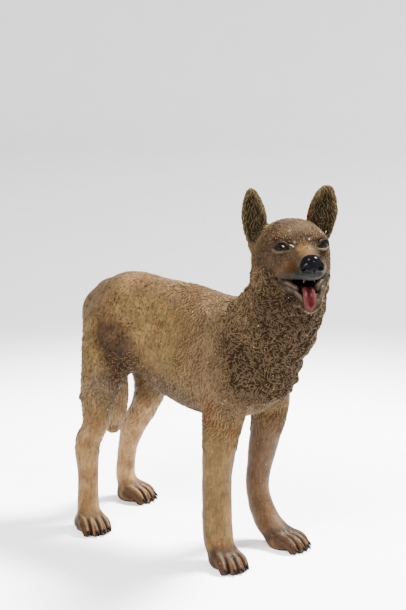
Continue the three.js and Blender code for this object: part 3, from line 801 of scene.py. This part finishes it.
# Softer patches on the face: colour, place as side, fore and up from the head's middle, reach, and how thick
FACE_PATCHES = [
    ((112, 90, 62), (4, 8, 9), (11, 9, 6), 0.7),
    ((60, 44, 32), (13, 5, -12), (7, 12, 9), 0.9),
    ((112, 90, 66), (19, 6, -15), (6, 8, 7), 0.9),
    ((70, 52, 38), (15, 0, -8), (6, 12, 10), 0.8),
    ((38, 28, 18), (9, 19, -12.5), (6, 6, 3), 0.9),
    ((36, 22, 18), (12.5, 12, -6), (4.5, 5, 4), 0.85),
    ((58, 32, 14), (7.5, 18, -8.5), (5, 8, 5), 0.95),
    ((44, 38, 18), (5.5, 24.5, -9), (3.2, 4.5, 3.6), 0.85),
    ((92, 68, 33), (0, 18.5, 0), (5.2, 11, 5), 0.95),
    ((38, 27, 18), (10.4, 13.5, 0.3), (7.5, 6, 4.8), 0.8),
    ((78, 38, 22), (13, 9, 5), (4, 5, 3), 0.5),
]


def brush_on(colours):
    """A brush that lays a paint over the colours, by a share between 0 and 1 for each place."""
    def brush(paint, share):
        colours[:] += (linear(paint) - colours) * np.clip(share, 0, 1)[:, None]
    return brush


def paint_trunk(brush, p, soft, blotch):
    """The body's broad zones: rump, back, belly and shoulders, with streaks of rust and moss."""
    x, y, z = p.T
    streak = noise(p * (1, 0.3, 1), 3.2, 13)
    brush(RUMP, ramp(y + 4 * soft, 28, 46) * ramp(z, 112, 126) * 0.8)
    along_back = ramp(y, -60, -30) * ramp(y, 46, 20)
    brush(BACK, ramp(z + 2.5 * soft - np.abs(x) * 0.35, 124, 132) * 0.85 * along_back)
    brush(RUST, ramp(streak + 0.4 * blotch, 0.1, 0.9) * ramp(z, 112, 124) * ramp(y, 40, 10) * 0.5)
    brush(MOSS, ramp(blotch, 0.1, 0.8) * 0.4)
    brush(BELLY, ramp(z + 4 * soft, 102, 84) * ramp(np.abs(y - 5), 40, 25) * 0.9)
    brush(SHOULDER, ramp(y + 4 * soft, -8, -34) * ramp(z, 72, 88))
    brush(RUST, ramp(blotch + soft, 0.1, 1.2) * ramp(y, -15, -30) * ramp(np.abs(z - 82), 16, 6) * 0.6)


def paint_limbs(brush, p, soft, blotch):
    """The legs, paler behind and in painted shade on the left foreleg, the tail, and painted shade in the
    hollow and crease by each thigh.
    """
    x, y, z = p.T
    below_body = ramp(z + 3 * soft, 84, 66)
    brush(LEG, below_body)
    brush(PALE_LEG, below_body * ramp(y, 20, 40) * ramp(z, 72, 52) * (0.5 + 0.5 * ramp(x, 4, 12)))
    brush(SHADED_LEG, below_body * ramp(x, 4, 12) * ramp(y, -5, -20))
    brush(RUST, below_body * ramp(blotch - 0.5 * soft, 0.0, 0.9) * 0.4)
    brush(TAIL_TAN, ramp(TAIL_LIMB(p), 2.5, 0.3) * ramp(z, 124, 100) * (0.8 + 0.3 * blotch))
    fine = noise(p, 1.6, 17)
    # Painted shade in the hollow and the crease between flank and thigh, darkest low down
    for crease in CREASES:
        brush(HOLLOW_SHADE, ramp(crease(p) + 1.2 * blotch + 1.5 * fine, 12, 2) * ramp(z, 132, 112) * 0.9)
        brush(SHADE_AND_FUR_BROWN, ramp(crease(p) + fine, 5, 0) * ramp(z, 112, 97) * 0.75)


def paint_ruff(brush, p, soft):
    """The dark ruff on breast, throat and neck, and the paler nape."""
    _, y, z = p.T
    on_neck = ramp(np.abs(TRUNK[1](p)), 4, 1)
    brush(RUFF, np.maximum(ramp(from_ruff(p) + 0.12 * soft, 1.32, 0.8), on_neck * ramp(z, 120, 138)))
    brush(NAPE, on_neck * ramp(z, 118, 136) * ramp(y + 2 * soft, -66, -56))


def paint_paw(brush, p, foot, clefts, claws):
    """A brown paw with reddish toes, painted shade in the clefts between pale edges and along the sole by the
    floor, and black claws.
    """
    _, y, z = p.T
    from_foot, from_cleft = foot(p), clefts(p)
    on_foot, hind = ramp(from_foot, 1.2, 0.3), ramp(y, 0, 20)
    brush(PAW_BROWN, ramp(from_foot, 5, 0.3) * (0.95 - 0.2 * hind))
    brush(TOE_RED, on_foot * ramp(z, 9, 5) * 0.8)
    brush(PALE_LEG, on_foot * ramp(np.abs(from_cleft - 2.1), 0.8, 0.1) * (0.18 + 0.3 * hind))
    # Painted shade in the clefts between the toes
    brush(SHADE_AND_FUR_BROWN, on_foot * ramp(from_cleft, 1.5, 0.5) * ramp(z, 10, 7))
    # Painted shade along the sole where it meets the floor
    brush(SHADE_AND_FUR_BROWN, on_foot * ramp(z, 1.6, 0.2) * 0.8)
    brush(CLAW_BLACK, ramp(claws(p), 0.4, 0.1))


def painted(p):
    """The paint at each place: broad zones that run into each other, then paws, face and small dabs."""
    colours = np.tile(linear(OCHRE), (len(p), 1))
    brush = brush_on(colours)
    soft, blotch = noise(p, 11, 11), noise(p, 6, 12)
    paint_trunk(brush, p, soft, blotch)
    paint_limbs(brush, p, soft, blotch)
    paint_ruff(brush, p, soft)
    for part in PAW_PARTS:
        paint_paw(brush, p, *part)
    near = near_head(p)
    if near.any():
        colours[near] = face_painted(p[near], colours[near])
    for paint, place, reach in DABS:
        brush(paint, ramp(lengths(p - place), reach, reach * 0.6))
    return colours


def face_axes(p):
    """Each place's left, fore and up on the face."""
    return FACE[1] @ (p - HEAD_MIDDLE).T


def paint_fur(brush, p, mottle, hairs):
    """The face's brown fur with its softer patches."""
    left, fore, up = face_axes(p)
    on_head = ramp(HEAD(p), 2, 0.6)
    brush(FACE_BROWN, on_head)
    for paint, middle, reach, thick in FACE_PATCHES:
        away = (np.stack([np.abs(left), fore, up], 1) - middle) / reach
        brush(paint, on_head * ramp(lengths(away), 1, 0.35) * (thick + 0.25 * mottle))
    brush(SHADE_AND_FUR_BROWN, on_head * ramp(hairs + 0.5 * mottle, 0.1, 0.8) * ramp(fore, 16, 10) * 0.45)


def paint_mouth(brush, p, mottle):
    """The grey-blue upper lip, the dark mouth, the flesh inside it and the lower lip."""
    left, fore, up = face_axes(p)
    from_mouth, from_lip = MOUTH(p), LOWER_LIP(p)
    above_mouth = ramp(HEAD(p), 2, 0.6) * ramp(up, -18, -16)
    brush(LIP_BLUE, above_mouth * ramp(fore, 22, 25) * ramp(up, -8, -9.5) * (0.85 + 0.4 * mottle))
    brush(LIP_GREY, above_mouth * ramp(np.abs(from_mouth - 1.7), 0.8, 0.3) * ramp(fore, 25, 22))
    brush(LID_DARK, above_mouth * ramp(from_mouth, 1.2, 0.7))
    brush(MOUTH_DARK, ramp(np.minimum(from_mouth, GULLET(p)), 0.5, 0))
    on_flesh = ramp(nearest(INNER_LIPS, p), 0.6, 0.2) * (0.85 + 0.3 * mottle)
    brush(GUM_PINK, on_flesh)
    brush(LIP_GREY, on_flesh * ramp(left, 0, 2))
    brush(MOUTH_DARK, ramp(nearest(SEAMS, p), 0.5, 0.1))
    brush(LID_DARK, ramp(from_lip, 1.4, 0.8) * ramp(up, -14, -17) * 0.8)
    brush(LIP_GREY, ramp(from_lip, 0.6, 0.2))


def paint_tongue(brush, p, hairs):
    """The red tongue with its dark groove and pale edges, and painted shade where it lies inside the mouth.
    """
    left, fore, up = face_axes(p)
    on_tongue = ramp(TONGUE(p), 0.5, 0.2)
    brush(TONGUE_RED, on_tongue)
    brush(TONGUE_PALE, on_tongue * ramp(np.abs(left), 2.6, 3.7) * ramp(up, -19, -21) * 0.8)
    brush(TONGUE_DARK, on_tongue * ramp(GROOVE(p) + 0.5 * hairs, 1.6, 0.1))
    # Painted shade: the tongue darkened where it lies inside the mouth
    brush(MOUTH_DARK, on_tongue * ramp(fore, 24.5, 22.5) * 0.9)


def paint_eye(brush, p, mottle, socket, eyeball, upper, lower, iris, glint):
    """A dark eye between a brown upper and a pale lower lid, with a painted catchlight."""
    brush(LID_BROWN, ramp(socket(p), 1.2, 0.1) * 0.8)
    brush(LID_BROWN, ramp(upper(p), 0.8, 0.1))
    brush(LID_PALE, ramp(lower(p), 0.5, 0.1) * (0.8 + 0.4 * mottle))
    from_iris = lengths(p - iris)
    on_ball = ramp(eyeball(p), 0.3, 0.1)
    brush(EYE_DARK, on_ball * ramp(from_iris, 4.6, 3.8))
    brush(EYE_BROWN, on_ball * ramp(np.abs(from_iris - 1.9), 0.7, 0.3))
    brush(LID_DARK, on_ball * ramp(upper(p), 0.8, 0.3))
    # A painted catchlight: the lamps' reflection painted onto the ball
    brush(CATCHLIGHT, on_ball * ramp(lengths(p - glint), 0.45, 0.2))


def paint_ear(brush, p, mottle, leaf, hollow):
    """An olive ear, dark in its hollow, with a rust-red painted highlight along the left ear's lit inner rim.
    """
    left, _, up = face_axes(p)
    from_hollow = hollow(p)
    on_ear = ramp(leaf(p), 1.6, 0.2) * ramp(up, -6, 0)
    brush(EAR_OLIVE, on_ear)
    brush(EAR_DARK, on_ear * ramp(from_hollow + 0.8 * mottle, 2.2, -0.4))
    # Painted highlight: the left ear's lit inner rim, in rust red
    inner_edge = ramp(left, 8, 9) * ramp(left, 12, 10) * ramp(up, 17, 11)
    brush(EAR_RIM_HIGHLIGHT, on_ear * inner_edge * ramp(from_hollow, 0.4, 1.4))


def face_painted(p, colours):
    """The face's paint over the neck's."""
    brush = brush_on(colours)
    mottle, hairs = noise(p, 3.5, 14), noise(p, 1.5, 15)
    paint_fur(brush, p, mottle, hairs)
    paint_mouth(brush, p, mottle)
    brush(NOSE_BLACK, ramp(nose(p), 0.8, 0.3))
    paint_tongue(brush, p, hairs)
    for tooth in TEETH:
        brush(TOOTH, ramp(tooth(p), 0.3, 0.1))
    for parts in EYES:
        paint_eye(brush, p, mottle, *parts)
    for leaf, hollow in EAR_PARTS:
        paint_ear(brush, p, mottle, leaf, hollow)
    return colours


class Shader:
    """A material made by short calls. Its patterns are sized in millimetres and fixed to the figure."""

    def __init__(self, name):
        self.material = bpy.data.materials.new(name)
        self.material.use_nodes = True
        self.tree = self.material.node_tree
        self.surface = self.tree.nodes["Principled BSDF"]
        self.place = self.node("ShaderNodeTexCoord", "Object")

    def feed(self, socket, value):
        """Links a socket to another one, or gives it a fixed number or colour."""
        if isinstance(value, bpy.types.NodeSocket):
            self.tree.links.new(value, socket)
        elif socket.type == "RGBA":
            socket.default_value = (*value, 1)
        else:
            socket.default_value = value

    def node(self, kind, output, inputs=None, **settings):
        """One output of a new node."""
        made = self.tree.nodes.new(kind)
        for name, value in settings.items():
            setattr(made, name, value)
        for name, value in (inputs or {}).items():
            self.feed(made.inputs[name], value)
        return made.outputs[output]

    def attribute(self, name, output="Fac"):
        return self.node("ShaderNodeAttribute", output, attribute_name=name)

    def stretched(self, along=1.0):
        """Places whose patterns run along the figure's height."""
        inputs = {"Vector": self.place, "Scale": (1 / MM, 1 / MM, 1 / MM / along)}
        return self.node("ShaderNodeMapping", "Vector", inputs)

    def noise(self, size, detail=2.0, rough=0.5, along=1.0, twist=0.0):
        inputs = {"Vector": self.stretched(along), "Scale": 1 / size, "Detail": detail, "Roughness": rough}
        return self.node("ShaderNodeTexNoise", "Fac", inputs | {"Distortion": twist})

    def pits(self, size):
        return self.node("ShaderNodeTexVoronoi", "Distance", {"Vector": self.stretched(), "Scale": 1 / size})

    def remap(self, value, low, high, to_low=0.0, to_high=1.0):
        inputs = {"Value": value, "From Min": low, "From Max": high, "To Min": to_low, "To Max": to_high}
        return self.node("ShaderNodeMapRange", "Result", inputs, interpolation_type="SMOOTHSTEP")

    def combine(self, operation, a, b):
        return self.node("ShaderNodeMath", 0, {0: a, 1: b}, operation=operation)

    def times(self, a, b):
        return self.combine("MULTIPLY", a, b)

    def grey(self, value):
        return self.node("ShaderNodeCombineColor", "Color", {"Red": value, "Green": value, "Blue": value})

    def blend(self, share, a, b, kind="MIX"):
        """The colour a turned into b by share."""
        return self.node("ShaderNodeMix", 2, {0: share, 6: a, 7: b}, data_type="RGBA", blend_type=kind)

    def between(self, share, a, b):
        """The number a turned into b by share."""
        return self.node("ShaderNodeMix", 0, {0: share, 2: a, 3: b})

    def bump(self, height, depth, **inputs):
        """A normal from a height of 0 to 1 that stands for `depth` millimetres."""
        return self.node("ShaderNodeBump", "Normal", {"Height": height, "Distance": depth * MM} | inputs)

    def set(self, **sockets):
        for name, value in sockets.items():
            self.feed(self.surface.inputs[name.replace("_", " ")], value)


def coat_colour(m, grain, pitted, deep, tip, plain):
    """Mottled and grained paint, pale on the crests from wear and a painted highlight, painted shade between
    the strands, dark in the pits, and painted white sparkles for glints of the varnish.
    """
    paint = m.attribute("paint", "Color")
    mottle = m.remap(m.noise(7, 3, 0.6), 0.3, 0.7, 0.46, 0.72)
    streak = m.remap(m.noise(1.2, along=5), 0.35, 0.65, 0.84, 1.1)
    coarse = m.remap(m.attribute("pitted"), 0, 1, 0.35, 1.0)
    light = m.times(m.times(mottle, m.between(coarse, 0.92, grain)), streak)
    light = m.times(light, m.remap(pitted, 0, 1, 0.25, 1.0))
    colour = m.blend(plain, paint, m.blend(1.0, paint, m.grey(light), "MULTIPLY"))
    # Crests paler from wear and a painted highlight
    colour = m.blend(m.remap(tip, 0.55, 1.0, 0.0, 0.5), colour, linear(CREST_WEAR_AND_HIGHLIGHT))
    # Painted shade between the strands and on their undersides
    colour = m.blend(deep, colour, linear(PAINTED_CREVICE_SHADE))
    # Painted white sparkles standing for glints of the varnish, more of them on the crests
    sparkle = m.times(m.remap(m.pits(2.7), 0.09, 0.05), m.remap(m.noise(9), 0.45, 0.6))
    sparkle = m.times(sparkle, m.remap(tip, 0.5, 0.8, 0.35, 1.0))
    return m.blend(m.times(sparkle, plain), colour, linear(PAINTED_SPARKLE))


def coat_material():
    """Varnished brown paint over modelled clay. It is plain and glossy where `wet` is 1."""
    m = Shader("painted_coat")
    tip, wet = m.attribute("tip"), m.attribute("wet")
    plain = m.combine("SUBTRACT", 1.0, m.times(wet, 0.95))
    grain = m.remap(m.noise(1.7, 3, 0.75), 0.36, 0.62, 0.6, 1.2)
    shallow = m.combine("MAXIMUM", m.remap(m.pits(1.7), 0.2, 0.42), m.remap(m.noise(4.5), 0.64, 0.5))
    pitted = m.combine("MAXIMUM", shallow, m.combine("SUBTRACT", 1.0, m.attribute("pitted")))
    wool = m.remap(m.noise(0.8, rough=0.6, twist=1.5), 0.45, 0.6, 1.0, 0.25)
    # Painted shade under the hair, broken up by the wool's noise; it also sinks the bump
    deep = m.times(m.remap(tip, 0.45, 0.05, 0.0, 0.85), wool)
    height = m.combine("ADD", m.times(grain, 0.5), m.times(pitted, 0.8))
    height = m.combine("SUBTRACT", height, deep)
    normal = m.bump(m.times(height, plain), 0.25)
    ripples = m.times(m.noise(0.8, rough=0.6), plain)
    dull = m.remap(grain, 0.6, 1.2, 0.5, 0.62)
    open_share = m.remap(tip, 0.05, 0.5, 0.1, 1.0)
    m.set(
        Base_Color=coat_colour(m, grain, pitted, deep, tip, plain),
        Roughness=m.combine("SUBTRACT", dull, m.times(wet, 0.22)),
        Normal=normal,
        Specular_IOR_Level=m.times(open_share, m.remap(wet, 0, 1, 0.03, 0.0)),
        Coat_Weight=m.times(open_share, m.remap(wet, 0, 1, 0.08, 0.12)),
        Coat_Roughness=m.remap(wet, 0, 1, 0.14, 0.05),
        Coat_IOR=1.4,
        Coat_Normal=m.bump(ripples, 0.3, Strength=0.6, Normal=normal),
    )
    return m.material


def furred(p):
    """1 on the head's fur, 0 on its bare nose, lips, mouth, tongue and eyes."""
    sockets = [socket for socket, *_ in EYES]
    return ramp(nearest([MOUTH, LOWER_LIP, TONGUE, nose, *sockets], p), 0.3, 1.0)


def on_ears(p):
    """1 on the ears, down to their roots."""
    leaves = [leaf for leaf, _ in EAR_PARTS]
    return ramp(nearest(leaves, p), 1.5, 0.5) * ramp(face_axes(p)[2], -6, -1)


def in_curls(p):
    """How thick the ruff's curls grow: full on breast and throat, thinning out over the shoulders."""
    return ramp(from_ruff(p) + 0.12 * noise(p, 8, 44), 1.26, 0.78)


def curly(p):
    """Where the curls grow: over the ruff, the jaw and the lower cheeks."""
    _, fore, up = face_axes(p)
    cheek = ramp(up + 2 * noise(p, 5, 41), 3, -2) * ramp(fore, 12, 8) * ramp(fore - up, 5, 12)
    cheek = np.maximum(cheek, ramp(up, -4, -8) * ramp(fore, 13, 9))
    jaw = ramp(up + fore, 3, 0.5)
    on_head = ramp(HEAD(p), 2.5, 1)
    return np.maximum(in_curls(p) * (1 - on_head), on_head * np.maximum(cheek, jaw)) * furred(p)


def stroked(p):
    """Where long strokes run: over the shoulders, the forearms' tops and the tail."""
    _, y, z = p.T
    edge = 6 * noise(p, 12, 42)
    shoulder = ramp(y + edge, 2, -16) * ramp(z, 62, 76) * (1 - in_curls(p)) * ramp(z, 150, 144)
    return np.maximum(shoulder, 0.8 * ramp(TAIL_LIMB(p), 1.6, 0.8) * ramp(z, 104, 92))


def woolly(p):
    """Where the short wool of the belly grows."""
    _, y, z = p.T
    return ramp(z + 6 * noise(p, 9, 43), 106, 92) * ramp(z, 68, 76) * ramp(y, -30, -18) * ramp(y, 36, 28)


def short_haired(p):
    """Where short hairs lie: over the forehead, the upper cheeks and the ears."""
    _, fore, up = face_axes(p)
    brow = ramp(HEAD(p), 2.5, 1) * ramp(fore, 20, 15) * ramp(up, -9, -5) * furred(p)
    return np.maximum(brow, on_ears(p))


def curls(above):
    """Where the curls grow above the breast's top, or those below it."""
    return lambda p: curly(p) * ((p[:, 2] > BREAST_TOP) == above)


def flecked(p):
    """Where a few short strokes lie: over the thighs and the upper legs."""
    _, y, z = p.T
    return 0.5 * ramp(z, 40, 60) * ramp(z, 118, 100) * ramp(y, 20, 34) * ramp(TAIL_LIMB(p), 1, 2)


def backwards(p):
    """The direction from the nose back over the head, and up on the ears."""
    left, _, up = face_axes(p)
    on_face = np.stack([0.03 * left, np.full(len(p), -1.0), ramp(up, -8, 4) - 0.5], 1)
    ears = on_ears(p)[:, None]
    return ((1 - ears) * on_face + ears * np.array([0, 0, 1.2])) @ FACE[1]


def downwards(p):
    """The direction of falling fur, that sweeps back on the shoulders."""
    return np.array([0, 0.5, -1.0]) + np.zeros_like(p)


# A kind of hair: where it grows, which way it runs and how much it swirls, then its strands' spacing, length,
# half-width and bend, how pale their ridges get from wear and a painted highlight, and how many rings of how
# many points each one has
Hair = namedtuple("Hair", "grows runs swirl spacing length width bend pale rings sides", defaults=(5, 4))
HAIR = {
    "neck_curls": Hair(curls(above=True), downwards, 1.6, 1.06, 2.5, 0.3, 2.8, 0.6),
    "breast_curls": Hair(curls(above=False), downwards, 1.6, 1.06, 2.6, 0.3, 2.8, 0.7),
    "shoulder_strokes": Hair(stroked, downwards, 0.6, 1.3, 3.0, 0.32, 0.9, 0.6),
    "belly_wool": Hair(woolly, downwards, 1.6, 1.2, 2.2, 0.33, 2.4, 0.8),
    "face_hairs": Hair(short_haired, backwards, 0.5, 1.15, 2.4, 0.27, 0.8, 1.0, 4, 3),
    "thigh_strokes": Hair(flecked, downwards, 0.5, 1.8, 2.4, 0.24, 0.6, 0.1, 4, 3),
}
FIRST_SEED, QUICK_SPACING = 50, 1.5


def finish_skin(mesh):
    """Keeps the skin's paint, where it takes painted shade under hair, and where it is pitted or wet."""
    p = points_of(mesh)
    keep_colours(mesh, painted(p))
    hairy = np.maximum(curly(p), 0.85 * short_haired(p))
    hairy = np.maximum(hairy, 0.7 * np.maximum(stroked(p), woolly(p)))
    # Lower under hair: the skin between the strands takes painted shade
    keep_attribute(mesh, "tip", 0.5 - 0.4 * hairy)
    keep_attribute(mesh, "pitted", ramp(p[:, 2], 62, 84) * ramp(HEAD(p), 0.5, 3) * (1 - hairy))
    glossy = [TONGUE, nose, *(eyeball for _, eyeball, *_ in EYES)]
    inside_mouth = ramp(nearest([MOUTH, GULLET], p), 0.4, 0.1) * 0.6
    keep_attribute(mesh, "wet", np.maximum(ramp(nearest(glossy, p), 0.5, 0.2), inside_mouth))


def dress():
    """Makes the figure's pieces."""
    coat = coat_material()
    skin_mesh = body_mesh()
    finish_skin(skin_mesh)
    show("dog_skin", skin_mesh, coat)
    for seed, (name, hair) in enumerate(HAIR.items(), FIRST_SEED):
        roots = spread(skin_mesh, hair.grows, hair.spacing * (1), seed)
        swirls = np.stack([noise(roots, 5, seed), noise(roots, 5, seed + 10), noise(roots, 5, seed + 20)], 1)
        heading = hair.runs(roots) + hair.swirl * swirls
        show(name, strands(name, roots, heading, hair, seed), coat)


def floor_material():
    """Pale paper, near white around the figure and grey further out: a painted pool of light."""
    m = Shader("backdrop")
    distance = m.node("ShaderNodeVectorMath", "Value", {"Vector": m.place}, operation="LENGTH")
    # Painted light: the paper fades from near white by the figure to grey on the wall, for the light falling
    # off
    painted_light_pool = m.remap(distance, 0.2, 0.46, 0.99, 0.24)
    paper = m.times(painted_light_pool, m.remap(m.noise(40), 0.3, 0.7, 0.98, 1.0))
    m.set(Base_Color=m.grey(paper), Roughness=0.9)
    return m.material


def floor_mesh():
    """A round flat floor whose edge bends up into a wall."""
    bends = np.linspace(0, math.pi / 2, 13)[1:]
    profile = [(FLOOR_FLAT, 0.0)]
    profile += [(FLOOR_FLAT + FLOOR_BEND * math.sin(a), FLOOR_BEND * (1 - math.cos(a))) for a in bends]
    profile.append((FLOOR_FLAT + FLOOR_BEND, WALL_HEIGHT))
    turns = np.arange(FLOOR_SIDES) * 2 * math.pi / FLOOR_SIDES
    points = [(0, 0, 0)] + [(r * math.cos(t), r * math.sin(t), z) for r, z in profile for t in turns]
    faces = [(0, 1 + n, 1 + (n + 1) % FLOOR_SIDES) for n in range(FLOOR_SIDES)]
    for ring in range(len(profile) - 1):
        faces += band(1 + ring * FLOOR_SIDES, FLOOR_SIDES)
    return mesh_of("backdrop", to_modelling(np.array(points)), faces)


def add_lamp(name, azimuth, elevation, distance, size, power):
    """A square soft light that looks at the figure from azimuth and elevation, in degrees."""
    a, e = math.radians(azimuth), math.radians(elevation)
    towards = np.array([math.sin(a) * math.cos(e), -math.cos(a) * math.cos(e), math.sin(e)])
    data = bpy.data.lights.new(name, "AREA")
    data.energy, data.size = power, size
    lamp = add_object(name, data)
    lamp.location = towards * distance + LAMP_AIM
    lamp.rotation_euler = to_euler(-towards)


def add_camera():
    """The camera, where the photograph was taken from."""
    data = bpy.data.cameras.new("camera")
    data.sensor_width, data.lens = SENSOR, FOCAL_LENGTH * SENSOR / PICTURE_HEIGHT
    camera = add_object("camera", data)
    camera.location = to_row(CAMERA_PLACE)
    camera.rotation_euler = to_euler(CAMERA_AIM - CAMERA_PLACE)
    bpy.context.scene.camera = camera


def stage():
    """The floor, the soft lights, the pale surroundings and the camera."""
    floor = add_object("backdrop", floor_mesh())
    floor.data.materials.append(floor_material())
    for name, lamp in LAMPS.items():
        add_lamp(name, *lamp)
    world = bpy.data.worlds.new("studio")
    world.use_nodes = True
    background = world.node_tree.nodes["Background"]
    background.inputs["Color"].default_value = (1, 1, 1, 1)
    background.inputs["Strength"].default_value = SKY_LIGHT
    bpy.context.scene.world = world
    add_camera()


def to_euler(direction):
    """The rotation of a camera or light that looks along a direction with its top up."""
    return Vector(direction).to_track_quat("-Z", "Y").to_euler()


stage()
dress()
